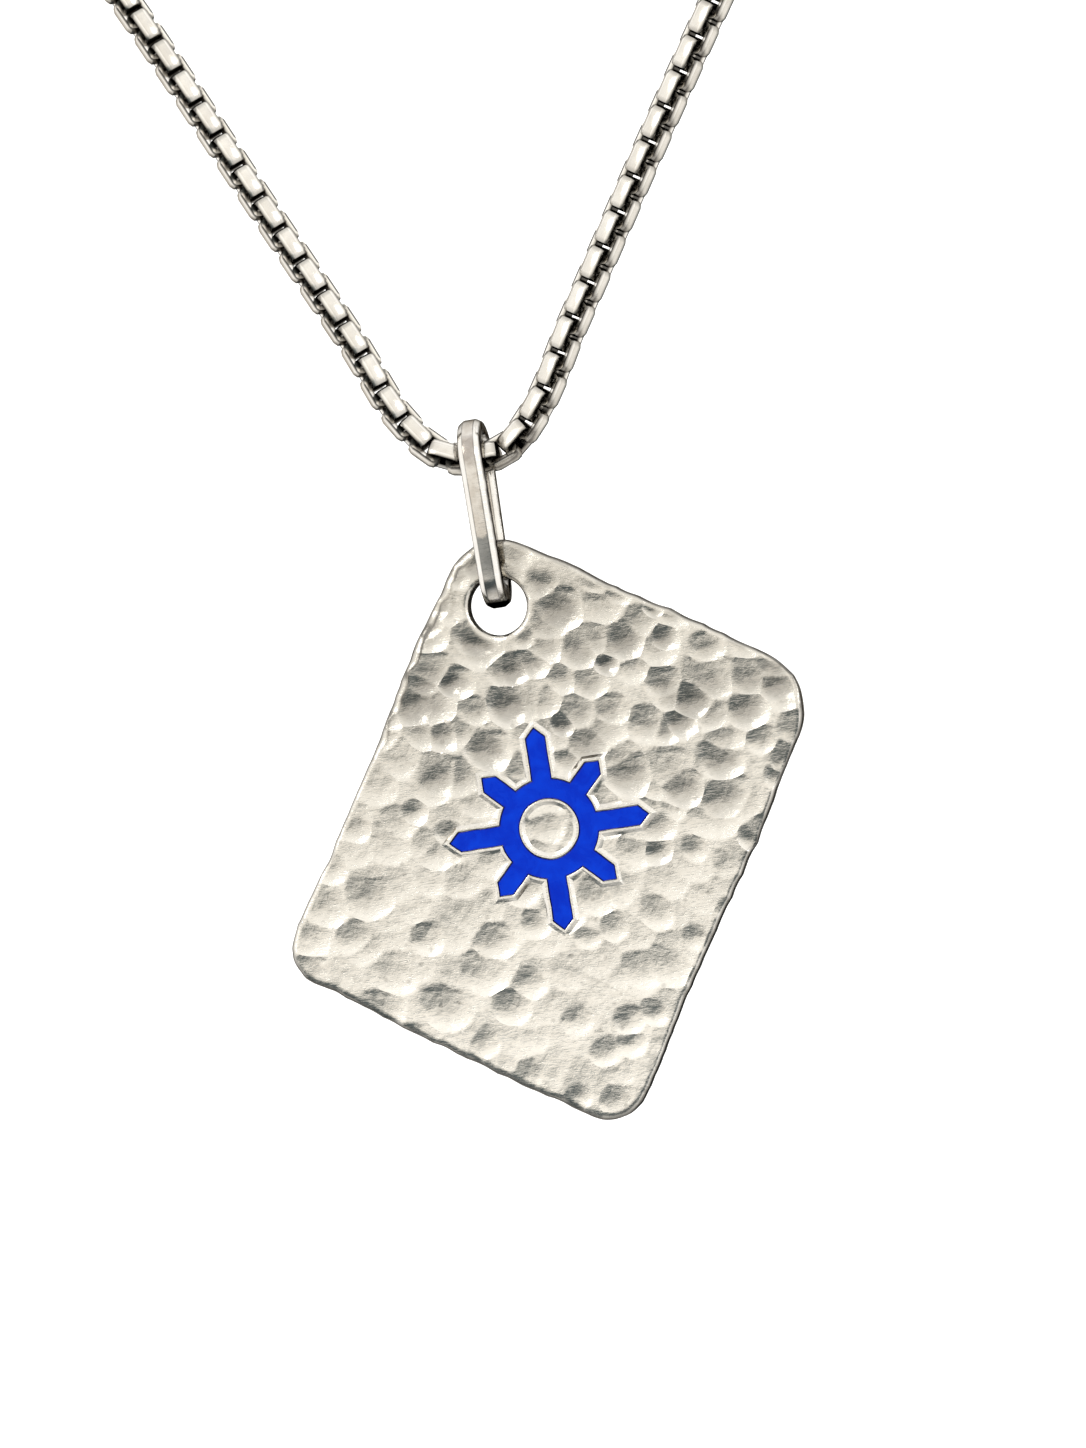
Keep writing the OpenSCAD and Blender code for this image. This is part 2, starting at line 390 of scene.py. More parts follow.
def plain_outline(step):
    """Points and outward directions round the plain oblong, counterclockwise."""
    points, outward = [], []
    w, h = TAG_W / 2, TAG_H / 2
    corners = [
        (1, 1, CORNER_RADII["tr"], 0), (-1, 1, CORNER_RADII["tl"], 90),
        (-1, -1, CORNER_RADII["bl"], 180), (1, -1, CORNER_RADII["br"], 270),
    ]
    for k, (sx, sy, r, start) in enumerate(corners):
        centre = np.array([sx * (w - r), sy * (h - r)])
        count = max(6, round(r * math.pi / 2 / step))
        for i in range(count):
            a = math.radians(start + 90 * i / count)
            direction = np.array([math.cos(a), math.sin(a)])
            points.append(centre + r * direction)
            outward.append(direction)
        nx, ny, nr, _ = corners[(k + 1) % 4]
        a = math.radians(start + 90)
        direction = np.array([math.cos(a), math.sin(a)])
        first = centre + r * direction
        last = np.array([nx * (w - nr), ny * (h - nr)]) + nr * direction
        count = max(2, round(np.linalg.norm(last - first) / step))
        for i in range(count):
            points.append(first + (last - first) * i / count)
            outward.append(direction)
    return np.array(points), np.array(outward)


def hammered_outline(step):
    """The outline as the hammer left it, with the direction outwards at each point."""
    points, outward = plain_outline(step)
    along = np.concatenate([[0], np.cumsum(np.linalg.norm(np.diff(points, axis=0), axis=1))])
    total = along[-1] + np.linalg.norm(points[0] - points[-1])
    keys = []
    for p, q, offset in EDGE_WANDER:
        nearest = np.argmin(np.hypot(points[:, 0] - p, points[:, 1] - q))
        keys.append((along[nearest], offset))
    keys.sort()
    s = np.array([k[0] for k in keys])
    v = np.array([k[1] for k in keys])
    wander = np.interp(along, np.concatenate([s - total, s, s + total]), np.tile(v, 3))
    width = max(1, round(WANDER_BLUR / step))
    kernel = np.hanning(2 * width + 3)[1:-1]
    kernel /= kernel.sum()
    wander = np.convolve(np.concatenate([wander[-width:], wander, wander[:width]]), kernel, "valid")
    circle = 2 * math.pi * along / total
    ring = np.stack([np.cos(circle), np.sin(circle)], axis=1)
    turns = total / (2 * math.pi)
    scallops = 0.05 - np.abs(SCALLOPS.at(ring * turns))
    fine = OUTLINE_FINE.at(ring * turns)
    points = points + outward * (wander + scallops + fine)[:, None]
    ahead = np.roll(points, -2, axis=0) - np.roll(points, 2, axis=0)
    outward = np.stack([ahead[:, 1], -ahead[:, 0]], axis=1)
    outward /= np.linalg.norm(outward, axis=1)[:, None]
    return points, outward


def hand_cut(points):
    """Moves the sun's drawing a little, as a hand-cut one strays."""
    shift, fine = (np.stack([w.at(points) for w in waves], axis=1)
                   for waves in (STRAY, STRAY_FINE))
    return points + shift + fine


def sun_loop(grow):
    """The sun's outer outline, counterclockwise, moved outwards by grow."""
    half = STROKE / 2 + grow
    ring = RING_R + grow
    points = []
    for i in range(RAYS):
        tip = (LONG_RAY if i % 2 == 0 else SHORT_RAY) + grow * math.sqrt(2)
        root = math.sqrt(ring ** 2 - half ** 2)
        right = [(half, root + (tip - half - root) * k / RAY_STEPS) for k in range(RAY_STEPS)]
        slope = [(half * (1 - k / TIP_STEPS), tip - half + half * k / TIP_STEPS)
                 for k in range(TIP_STEPS)]
        side = right + slope
        ray = side + [(0, tip)] + [(-x, y) for x, y in reversed(side)]
        edge = math.asin(half / ring)
        step = (2 * math.pi / RAYS - 2 * edge) / ARC_STEPS
        arc = [(-ring * math.sin(edge + k * step), ring * math.cos(edge + k * step))
               for k in range(1, ARC_STEPS)]
        a = TAG_TURN + 2 * math.pi * i / RAYS
        c, s = math.cos(a), math.sin(a)
        points += [(x * c - y * s, x * s + y * c) for x, y in ray + arc]
    return hand_cut(np.array(points))


def circle_loop(radius, count, centre=(0, 0)):
    a = 2 * math.pi * np.arange(count) / count
    return np.stack([centre[0] + radius * np.cos(a), centre[1] + radius * np.sin(a)], axis=1)


def island_loop(grow):
    """The edge of the silver inside the sun's ring, moved inwards by grow."""
    return hand_cut(circle_loop(RING_R - STROKE - grow, ISLAND_POINTS))


# ---- The hammered surface ----


class Dents:
    """Overlapping hollows. The surface at a point is the lowest of them there."""

    def __init__(self, seed, width, height, depth, fade):
        draw = np.random.default_rng(seed)
        self.found = []
        # Even marks all over, then fewer and deeper ones, which don't fade
        self.lay(draw, width, height, 0.8 * depth, (0.75, 1.2), 0.0, fade)
        self.lay(draw, 1.25 * width, 1.25 * height, 1.25 * depth, (0.55, 1.0), 0.25, 0.6 * fade)
        self.centre = np.array([f[0] for f in self.found])
        self.depth = np.array([f[1] for f in self.found])
        self.bend = np.array([f[2] for f in self.found])
        self.reach = np.array([f[3] for f in self.found])

    def lay(self, draw, width, height, depth, sizes, left_out, fade):
        """One layer of marks on a loose grid, level in the picture, fading downwards."""
        right = np.array([math.cos(LEAN), math.sin(LEAN)])
        up = np.array([-math.sin(LEAN), math.cos(LEAN)])
        rows, columns = int(GRID_SPAN / height), int(GRID_SPAN / width)
        for r in range(-rows // 2, rows // 2 + 1):
            for c in range(-columns // 2, columns // 2 + 1):
                u = (c + 0.5 * (r % 2) + draw.uniform(-STRAY_ACROSS, STRAY_ACROSS)) * width
                v = (r + draw.uniform(-STRAY_UP, STRAY_UP)) * height
                centre = u * right + v * up
                size = draw.uniform(*sizes)
                deep = depth * draw.uniform(*DEPTH_SPREAD)
                turn = LEAN + draw.uniform(*TURN_SPREAD)
                skip = draw.random() < left_out
                if skip or (abs(centre) > (TAG_W / 2 + OFF_EDGE, TAG_H / 2 + OFF_EDGE)).any():
                    continue
                weak = 1 - fade * float(smooth((FADE_TOP - v) / FADE_RUN))
                across = 2 * depth * weak / (REACH_ACROSS * width * size) ** 2
                upright = 2 * depth * weak / (REACH_UP * height * size) ** 2
                c2, s2 = math.cos(turn), math.sin(turn)
                bend = (across * c2 * c2 + upright * s2 * s2, (across - upright) * c2 * s2,
                        across * s2 * s2 + upright * c2 * c2)
                self.found.append((centre, deep * weak, bend, STEEP_REACH * height * size))

    def nearest(self, points):
        """The lowest hollow at each point and the next: levels and slopes."""
        out = [[], [], [], []]
        a, b, c = self.bend[:, 0], self.bend[:, 1], self.bend[:, 2]
        up = (-math.sin(LEAN), math.cos(LEAN))
        for start in range(0, len(points), DENT_BATCH):
            d = points[start:start + DENT_BATCH, None, :] - self.centre[None]
            gx = a * d[..., 0] + b * d[..., 1]
            gy = b * d[..., 0] + c * d[..., 1]
            half = 0.5 * (gx * d[..., 0] + gy * d[..., 1])
            # Each hollow is steeper in its lower half
            height = (d[..., 0] * up[0] + d[..., 1] * up[1]) / self.reach
            skew = 1 - STEEP_FOOT * np.clip(height, -1, 1)
            turn = np.where(np.abs(height) < 1, -STEEP_FOOT / self.reach, 0) * half
            gx = gx * skew + turn * up[0]
            gy = gy * skew + turn * up[1]
            level = -self.depth + half * skew
            row = np.arange(len(d))
            for k in range(2):
                i = np.argmin(level, axis=1)
                out[k].append(level[row, i])
                out[k + 2].append(np.stack([gx[row, i], gy[row, i]], axis=1))
                level[row, i] = np.inf
        return [np.concatenate(o) for o in out]

    def ridge_step(self, points):
        """The move that takes each point to the ridge next to it, and how far off that is."""
        low, high, slope_low, slope_high = self.nearest(points)
        away = slope_high - slope_low
        steep = np.maximum((away ** 2).sum(axis=1), 1e-6)
        move = -away * ((high - low) / steep)[:, None]
        return move, np.linalg.norm(move, axis=1)


def inside(points, loops):
    """Which points lie within an odd number of the loops."""
    result = np.zeros(len(points), dtype=bool)
    for loop in loops:
        a, b = loop, np.roll(loop, -1, axis=0)
        for start in range(0, len(points), LOOP_BATCH):
            x, y = points[start:start + LOOP_BATCH].T[:, :, None]
            straddle = (a[:, 1] > y) != (b[:, 1] > y)
            rise = np.where(b[:, 1] == a[:, 1], 1e-12, b[:, 1] - a[:, 1])
            cross = straddle & (x < a[:, 0] + (y - a[:, 1]) / rise * (b[:, 0] - a[:, 0]))
            result[start:start + LOOP_BATCH] ^= (cross.sum(axis=1) % 2).astype(bool)
    return result


def scatter(loops, spacing, dents=None):
    """Rows of points inside the loops. Those that are close to a ridge are moved onto it."""
    edge = np.concatenate(loops)
    low, high = edge.min(axis=0), edge.max(axis=0)
    rise = spacing * math.sqrt(3) / 2
    rows = np.arange(low[1], high[1], rise)
    columns = np.arange(low[0], high[0], spacing)
    grid = np.array([(x + spacing / 2 * (k % 2), y) for k, y in enumerate(rows) for x in columns])
    grid = grid[inside(grid, loops)]
    if dents:
        move, far = dents.ridge_step(grid)
        near = far < 0.5 * spacing
        grid[near] += move[near]
        again, far = dents.ridge_step(grid[near])
        again[far > 0.3 * spacing] = 0
        grid[near] += again
    tree = KDTree(len(edge) + len(grid))
    kept = []
    every = np.concatenate([edge, grid])
    for i, (x, y) in enumerate(every):
        tree.insert((x, y, 0), i)
    tree.balance()
    dropped = set()
    count = len(edge)
    for i in range(count, len(every)):
        if i in dropped:
            continue
        close = [j for _, j, _ in tree.find_range((*every[i], 0), 0.45 * spacing) if j != i]
        if any(j < count for j in close):
            dropped.add(i)
            continue
        dropped.update(close)
        kept.append(i)
    grid = every[kept]
    return grid[inside(grid, loops)]


def web(loops, points):
    """Triangles between the loops and the points, as indices into them in that order."""
    coords = [Vector(p) for p in np.concatenate([*loops, points])]
    edges, start = [], 0
    for loop in loops:
        n = len(loop)
        edges += [(start + i, start + (i + 1) % n) for i in range(n)]
        start += n
    verts, _, faces, origin, _, _ = delaunay_2d_cdt(coords, edges, [], 0, 1e-6, True)
    if any(not o for o in origin):
        raise RuntimeError("two edges of a drawing cross")
    flat = np.array([tuple(v) for v in verts])
    faces = np.array(faces)
    keep = inside(flat[faces].mean(axis=1), loops)
    source = np.array([o[0] for o in origin])
    faces = source[faces[keep]]
    every = np.concatenate([*loops, points])
    a, b, c = every[faces[:, 0]], every[faces[:, 1]], every[faces[:, 2]]
    area = (b[:, 0] - a[:, 0]) * (c[:, 1] - a[:, 1]) - (b[:, 1] - a[:, 1]) * (c[:, 0] - a[:, 0])
    faces[area < 0] = faces[area < 0][:, ::-1]
    return faces[np.abs(area) > 1e-9]


class Shell:
    """Gathers the points and faces of a piece, ring by ring."""

    def __init__(self):
        self.points, self.faces, self.grime_and_painted_light = [], [], []
        self.count = 0

    def add(self, flat, level, grime_and_painted_light=0.0):
        """Adds points of the tag's drawing and returns their indices."""
        self.points.append(on_tag(flat, level))
        self.grime_and_painted_light.append(np.broadcast_to(grime_and_painted_light, len(flat)))
        self.count += len(flat)
        return np.arange(self.count - len(flat), self.count)

    def strip(self, first, second):
        """Quads between two rings of the same number of points."""
        n = len(first)
        after = np.roll(np.arange(n), -1)
        self.faces += np.stack([first, first[after], second[after], second], axis=1).tolist()

    def walls(self, index, drawing, steps):
        """Rings down from a drawing's edge. Each step is outwards, a level and a value of painted
        shade.
        """
        last = index
        for grow, level, grime_and_painted_light in steps:
            flat = drawing(grow)
            ring = self.add(flat, level, grime_and_painted_light)
            self.strip(*((ring, last) if drawing is sun_loop else (last, ring)))
            last = ring
        return flat, last

    def close(self, rims, flip):
        """Triangles between the last rings of the sun and its island."""
        faces = web([flat for flat, _ in rims], np.zeros((0, 2)))
        index = np.concatenate([ring for _, ring in rims])
        self.faces += index[faces[:, ::-1] if flip else faces].tolist()

    def object(self, name):
        obj = mesh_object(name, np.concatenate(self.points), self.faces)
        add_attribute(obj, "grime_and_painted_light", np.concatenate(self.grime_and_painted_light))
        return obj


def hammered_level(dents, points):
    """Level of a hammered side, front or back, against the plain face: always below it."""
    low, high, slope_low, slope_high = dents.nearest(points)
    steep = np.maximum(np.linalg.norm(slope_high - slope_low, axis=1), 1e-3)
    ridge = np.exp(-((high - low) / steep) / 0.1)
    level = np.minimum(low, 0) - SURFACE_DROP
    level += SURFACE_FINE.at(points) * (1 - ridge)
    level += SURFACE_BROAD.at(points)
    level = np.maximum(level, -DEEPEST)
    hole = np.hypot(points[:, 0] - HOLE_AT[0], points[:, 1] - HOLE_AT[1])
    level *= 1 - 0.3 * smooth((3.4 - hole) / 1.0)
    right, up = points[:, 0], points[:, 1]
    plain = smooth((up - PLAIN_FOOT - PLAIN_SLOPE * (right + 8)) / PLAIN_RUN)
    plain *= smooth((4 - right) / 3) * smooth((right + 9.5) / 2)
    level *= 1 - PLAINNESS * plain
    return np.minimum(level, -SHALLOWEST)


def build_side(shell, dents, loops, spacing, half, sign, crease):
    """The points and triangles of the front (sign 1) or the back (sign -1).

    Returns each loop's indices and levels.
    """
    points = scatter(loops, spacing, dents)
    every = np.concatenate([*loops, points])
    level = hammered_level(dents, every)
    height = math.cos(LEAN) * every[:, 1] - math.sin(LEAN) * every[:, 0]
    # Painted dark in the deep hollows: patina there, and painted shade that grows towards the top
    deep = smooth((-level - 0.12) / 0.2) * (0.10 + 0.36 * smooth((height + 8) / 20))
    # The face's outer ring takes the painted shade of the rim's crease
    deep[:len(loops[0])] = np.maximum(deep[:len(loops[0])], crease)
    index = shell.add(every, sign * (half + level), deep)
    faces = web(loops, points)
    if sign < 0:
        faces = faces[:, ::-1]
    shell.faces += index[faces].tolist()
    out, start = [], 0
    for loop in loops:
        out.append((index[start:start + len(loop)], level[start:start + len(loop)]))
        start += len(loop)
    return out


def round_edge(shell, wall, inwards, radius, half, level, sign, first, flip, edge_shade):
    """The rings that round an edge over, from the face's own ring to the upright wall."""
    last = first
    for k in range(EDGE_STEPS - 1, -1, -1):
        turn = math.pi / 2 * k / EDGE_STEPS
        inset = radius * (1 - math.cos(turn))
        height = (half - radius) + (radius + level) * math.sin(turn)
        ring = shell.add(wall + inwards * inset[:, None], sign * height, edge_shade[k])
        shell.strip(*((last, ring) if flip else (ring, last)))
        last = ring
    return last


def tag_mesh(settings):
    """The whole tag: hammered front and back, rounded rim and hole, and the sun's pocket."""
    half = TAG_T / 2
    grain = settings.grain / MM
    width, height = settings.dent_width / MM, settings.dent_height / MM
    depth = settings.dent_depth / MM
    front = Dents(settings.seed, width, height, depth, 0.66)
    back = Dents(settings.seed + 1, width * 1.1, height * 1.2, depth * 0.7, 0.2)
    outline, outward = hammered_outline(grain)
    length = np.arange(len(outline)) * grain
    along = np.stack([length, length * 0], axis=1)
    rim = settings.edge_radius / MM * (1 + RIM_RADIUS.at(along))
    # The hammer flattened the rim most at its upper left
    corner = smooth((-outline[:, 0] - 10) / 3) * smooth((outline[:, 1] + 2) / 6)
    facets = 0.6 + RIM_FACETS.at(along)
    foot_edge = smooth((-outline[:, 1] - 14) / 2)
    rim = np.minimum(rim * (1 + corner * np.clip(facets, -0.2, 1.3) + 0.5 * foot_edge), WIDEST_RIM)
    hole_wall = circle_loop(HOLE_R, HOLE_POINTS, HOLE_AT)
    hole_out = (hole_wall - HOLE_AT) / HOLE_R
    hole_rim = np.full(len(hole_wall), HOLE_RIM)
    shell = Shell()

    loops = [outline - outward * rim[:, None], hole_wall + hole_out * hole_rim[:, None],
             sun_loop(BORDER_FOOT), island_loop(BORDER_FOOT)]
    # Painted shade along the crease at the upper left, where the rim meets the face
    crease = corner * smooth(RIM_CREASE.at(along) + 0.7)
    edge_f, hole_f, sun_f, island_f = build_side(shell, front, loops, grain, half, 1, crease)
    edge_b, hole_b = build_side(shell, back, loops[:2], grain * 1.35, half, -1, crease)

    # Patches of painted shade along the rim, where its hammered facets look dark, most at its upper
    # left
    patches = smooth(RIM_PATCHES.at(along) + 0.15)
    patches *= 0.28 + 0.6 * corner
    rim_shade = [np.maximum(usual + (low - usual) * foot_edge, patches)
                for usual, low in zip(EDGE_SHADE, FOOT_SHADE)]
    for wall, inwards, radius, faces, hole, edge_shade in (
            (outline, -outward, rim, (edge_f, edge_b), False, rim_shade),
            (hole_wall, hole_out, hole_rim, (hole_f, hole_b), True, HOLE_SHADE)):
        ends = [round_edge(shell, wall, inwards, radius, half, level, sign, index,
                           (sign < 0) != hole, edge_shade)
                for (index, level), sign in zip(faces, (1, -1))]
        # The wall between the two edges gets less painted shade than they do, but in the hole it is
        # painted darker, as shade
        middle = shell.add(wall, 0.0, 0.9 if hole else 0.12)
        for first, second in ((ends[0], middle), (middle, ends[1])):
            shell.strip(*((first, second) if hole else (second, first)))

    # The pocket's wall is painted dark as shade, between the raised border and the enamel
    steps = [(grow, half + level, 0.5 if grow == ENAMEL_GAP else 0.0) for grow, level in BORDER]
    shell.close([shell.walls(index, drawing, steps)
                 for (index, _), drawing in ((sun_f, sun_loop), (island_f, island_loop))], False)
    return shell.object("hammered_tag")


# ---- Materials ----


def new_material(name):
    material = bpy.data.materials.new(name)
    material.use_nodes = True
    tree = material.node_tree
    tree.nodes.clear()
    output = tree.nodes.new("ShaderNodeOutputMaterial")
    shader = tree.nodes.new("ShaderNodeBsdfPrincipled")
    tree.links.new(shader.outputs["BSDF"], output.inputs["Surface"])
    return material, tree, shader


def add(tree, kind, inputs=(), **settings):
    """A node with its settings, and its inputs set or linked."""
    node = tree.nodes.new("ShaderNode" + kind)
    for key, value in settings.items():
        setattr(node, key, value)
    for key, value in dict(inputs).items():
        if isinstance(value, bpy.types.NodeSocket):
            tree.links.new(value, node.inputs[key])
        else:
            node.inputs[key].default_value = value
    return node


def remap(tree, value, low, high, to_low=0.0, to_high=1.0):
    node = add(tree, "MapRange", {"Value": value, "From Min": low, "From Max": high,
                                  "To Min": to_low, "To Max": to_high})
    return node.outputs["Result"]


def math_node(tree, operation, a, b=0.0, clamp=False):
    return add(tree, "Math", {0: a, 1: b}, operation=operation, use_clamp=clamp).outputs[0]


def times(tree, a, b):
    return math_node(tree, "MULTIPLY", a, b)


def plus(tree, a, b, clamp=False):
    return math_node(tree, "ADD", a, b, clamp)


def minus(tree, a, b):
    return math_node(tree, "SUBTRACT", a, b)


def larger(tree, a, b):
    return math_node(tree, "MAXIMUM", a, b)


def unsigned(tree, a):
    return math_node(tree, "ABSOLUTE", a)


def clouds(tree, where, scale, detail, roughness=0.5, distortion=0.0):
    """Soft noise from 0 to 1."""
    return add(tree, "TexNoise", {"Vector": where, "Scale": scale, "Detail": detail,
                                  "Roughness": roughness, "Distortion": distortion}).outputs["Fac"]


def bump(tree, shader, height, strength, distance):
    node = add(tree, "Bump", {"Height": height, "Strength": strength, "Distance": distance})
    tree.links.new(node.outputs["Normal"], shader.inputs["Normal"])


def object_place(tree):
    return add(tree, "TexCoord").outputs["Object"]


def grime_and_light_of(tree):
    return add(tree, "Attribute", attribute_name="grime_and_painted_light").outputs["Fac"]


def mix_colour(tree, factor, a, b, blend="MIX"):
    node = add(tree, "Mix", data_type="RGBA", blend_type=blend)
    for socket, value in ((node.inputs[0], factor), (node.inputs[6], a), (node.inputs[7], b)):
        if isinstance(value, bpy.types.NodeSocket):
            tree.links.new(value, socket)
        else:
            socket.default_value = value
    return node.outputs[2]


def rgba(colour, gain=1.0):
    return (*[min(1.0, c * gain) for c in colour], 1.0)


def wear_group():
    """Cloudy tarnish, fine scratches and small pits, shared by all the metals."""
    tree = bpy.data.node_groups.new("Wear of silver", "ShaderNodeTree")
    face = tree.interface
    face.new_socket("Vector", in_out="INPUT", socket_type="NodeSocketVector")
    for name, value in (("Cloud scale", 400.0), ("Scratch scale", 1500.0), ("Pit scale", 900.0)):
        face.new_socket(name, in_out="INPUT", socket_type="NodeSocketFloat").default_value = value
    for name in ("Cloud", "Scratches", "Pits"):
        face.new_socket(name, in_out="OUTPUT", socket_type="NodeSocketFloat")
    start = tree.nodes.new("NodeGroupInput")
    end = tree.nodes.new("NodeGroupOutput")
    cloud = clouds(tree, start.outputs["Vector"], start.outputs["Cloud scale"], 4.0, 0.6, 0.4)
    tree.links.new(remap(tree, cloud, 0.3, 0.7), end.inputs["Cloud"])
    lines = []
    for angle, stretch in ((0.5, 14.0), (2.0, 18.0), (1.25, 10.0)):
        turned = add(tree, "Mapping", {"Vector": start.outputs["Vector"],
                                       "Rotation": (0.0, angle, 0.0),
                                       "Scale": (1.0, 1.0, stretch)})
        streak = clouds(tree, turned.outputs["Vector"], start.outputs["Scratch scale"], 2.0)
        lines.append(remap(tree, streak, 0.60, 0.74))
    every = larger(tree, larger(tree, lines[0], lines[1]), lines[2])
    tree.links.new(every, end.inputs["Scratches"])
    pits = add(tree, "TexVoronoi", {"Vector": start.outputs["Vector"],
                                    "Scale": start.outputs["Pit scale"], "Randomness": 1.0})
    tree.links.new(remap(tree, pits.outputs["Distance"], 0.16, 0.06), end.inputs["Pits"])
    return tree


def silver(name, colour, tint, rough, scales, tarnish=0.25, relief=0.006, pitted=0.0,
           shade_heights=None, clean=0.0, edge=(0.08, 0.075, 0.07)):
    """A worn silver, cleaner from the second of two given levels down to the first: painted shade
    that darkens its upper part.

    Where the attribute of patina and painted light lies above clean, the colour is painted dark:
    patina in hollows, and painted shade along edges, in creases and in recesses.
    """
    material, tree, shader = new_material(name)
    where = object_place(tree)
    group = bpy.data.node_groups.get("Wear of silver") or wear_group()
    wear = tree.nodes.new("ShaderNodeGroup")
    wear.node_tree = group
    tree.links.new(where, wear.inputs["Vector"])
    for key, value in zip(("Cloud scale", "Scratch scale", "Pit scale"), scales):
        wear.inputs[key].default_value = value
    cloud, scratches, pits = [wear.outputs[k] for k in ("Cloud", "Scratches", "Pits")]
    shade = times(tree, cloud, tarnish)
    # Painted shade: from the lower level up to the upper one the colour is drawn towards the tint,
    # so the upper part is darker
    if shade_heights:
        level = add(tree, "SeparateXYZ", {"Vector": where}).outputs["Z"]
        shade = plus(tree, times(tree, shade, 0.7),
                     remap(tree, level, *shade_heights, -0.25, 0.75), clamp=True)
    base = mix_colour(tree, shade, rgba(colour), rgba(tint))
    if pitted:
        base = mix_colour(tree, times(tree, pits, pitted), base, rgba(tint, 0.35))
    # Painted dark by the attribute: patina in hollows, and painted shade along edges, in creases
    # and in recesses
    grime_and_painted_light = grime_and_light_of(tree)
    base = mix_colour(tree, remap(tree, grime_and_painted_light, clean, 1.0, 0.0, 0.92), base,
                      (0.05, 0.047, 0.043, 1))
    tree.links.new(base, shader.inputs["Base Color"])
    roughness = remap(tree, cloud, 0.0, 1.0, rough * 0.8, rough * 1.35)
    roughness = plus(tree, roughness, times(tree, scratches, 0.08))
    tree.links.new(roughness, shader.inputs["Roughness"])
    shader.inputs["Metallic"].default_value = 1.0
    shader.inputs["Specular Tint"].default_value = (*edge, 1.0)
    dents = times(tree, scratches, -0.5)
    dents = minus(tree, dents, times(tree, pits, 2.0 * pitted))
    bump(tree, shader, plus(tree, dents, cloud), 1.0, relief * MM)
    return material


def paint_over(material, factor, colour):
    """Lays a colour over what a material has so far."""
    tree = material.node_tree
    shader = next(n for n in tree.nodes if n.type == "BSDF_PRINCIPLED")
    base = shader.inputs["Base Color"].links[0].from_socket
    tree.links.new(mix_colour(tree, factor, base, colour), shader.inputs["Base Color"])


def enamel_blue(colour):
    material, tree, shader = new_material("blue_enamel")
    where = object_place(tree)
    cloud = clouds(tree, where, 700.0, 4.0, 0.55, 0.6)
    shade = remap(tree, cloud, 0.34, 0.68)
    deep = (colour[0], colour[1] * 0.55, colour[2] * 0.78, 1.0)
    base = mix_colour(tree, shade, deep, rgba(colour))
    # Painted shade: the enamel is darker blue at its edges, where it meets its pocket's wall
    edge = grime_and_light_of(tree)
    base = mix_colour(tree, times(tree, edge, 0.5), base,
                      (0.01, 0.012, colour[2] * 0.6, 1.0))
    tree.links.new(base, shader.inputs["Base Color"])
    tree.links.new(remap(tree, cloud, 0.3, 0.7, 0.22, 0.34), shader.inputs["Roughness"])
    shader.inputs["Specular IOR Level"].default_value = 0.06
    bump(tree, shader, clouds(tree, where, 1500.0, 2.0), 0.6, 0.01 * MM)
    return material


# ---- The pieces ----


